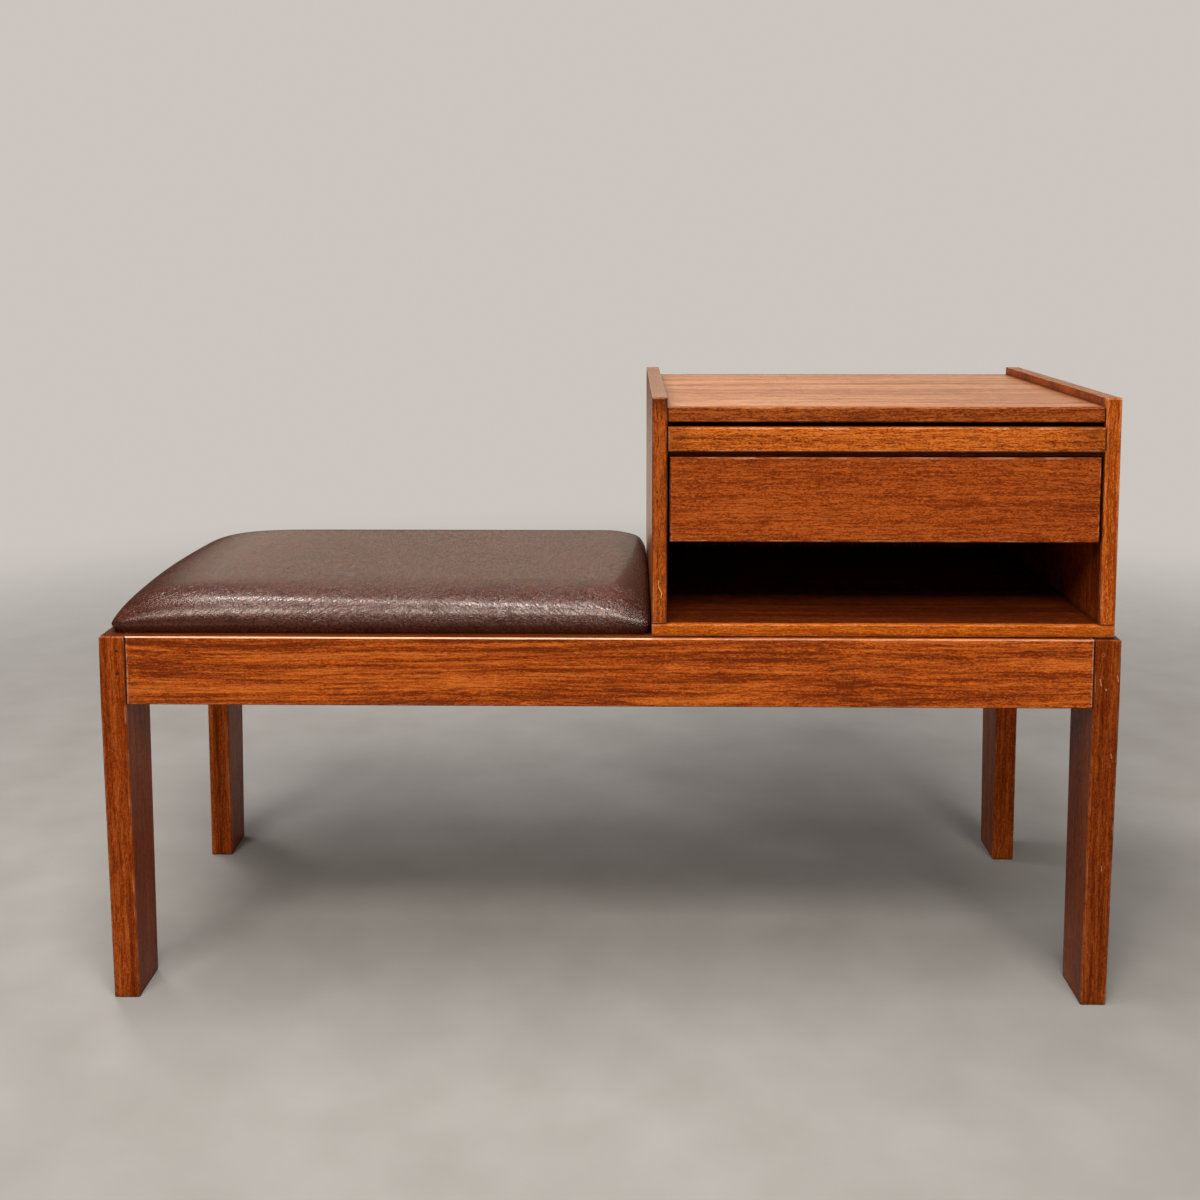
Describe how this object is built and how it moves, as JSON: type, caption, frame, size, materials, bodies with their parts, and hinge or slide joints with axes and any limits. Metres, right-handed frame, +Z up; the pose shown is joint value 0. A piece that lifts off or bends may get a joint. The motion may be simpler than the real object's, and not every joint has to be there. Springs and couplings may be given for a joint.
{
  "type": "telephone bench",
  "caption": "Low wooden hall bench with a padded seat on the left and a small cabinet on the right with a writing slide, a drawer and an open compartment.",
  "frame": {"origin": "on the floor, under the middle of the bench's length and depth", "axes": "+X to the right along the bench as seen from the front, +Y from the front to the back, +Z up"},
  "size_m": [1.02, 0.424, 0.625],
  "materials": {
    "solid_teak": "oiled and waxed teak",
    "teak_veneer": "satin lacquered teak veneer on board",
    "beech": "planed, unfinished",
    "plywood": "sanded plywood",
    "dark_pin": "stained dowel pin",
    "steel": "zinc plated",
    "foam": "upholstery foam",
    "vinyl": "grained vinyl, satin"
  },
  "bodies": {
    "frame": {"front_left_leg": "solid_teak", "front_right_leg": "solid_teak", "rear_left_leg": "solid_teak", "rear_right_leg": "solid_teak", "front_rail": "solid_teak", "rear_rail": "solid_teak", "left_side_rail": "solid_teak", "right_side_rail": "solid_teak", "cross_rail": "beech", "front_left_block": "beech", "front_right_block": "beech", "rear_left_block": "beech", "rear_right_block": "beech", "tenon_pins": "dark_pin", "seat_screws": "steel", "cabinet_screws": "steel", "seat_board": "plywood", "seat_foam": "foam", "seat_cover": "vinyl", "cabinet_left_side": "teak_veneer", "cabinet_right_side": "teak_veneer", "cabinet_bottom": "teak_veneer", "cabinet_top": "teak_veneer", "cabinet_back": "teak_veneer", "cabinet_dowels": "beech", "left_side_lipping": "solid_teak", "right_side_lipping": "solid_teak", "bottom_lipping": "solid_teak", "top_lipping": "solid_teak", "dust_panel": "plywood", "left_slide_guide": "beech", "right_slide_guide": "beech", "left_drawer_runner": "beech", "right_drawer_runner": "beech"},
    "drawer": {"drawer_front": "teak_veneer", "drawer_left_side": "beech", "drawer_right_side": "beech", "drawer_back": "beech", "drawer_bottom": "plywood"},
    "writing_slide": {"slide_board": "teak_veneer", "slide_front": "solid_teak"}
  },
  "joints": [
    {"name": "drawer_slide", "type": "slide", "parent": "frame", "child": "drawer", "axis": [0, -1, 0], "range_m": [0, 0.24]},
    {"name": "writing_slide_pull", "type": "slide", "parent": "frame", "child": "writing_slide", "axis": [0, -1, 0], "range_m": [0, 0.22]}
  ]
}
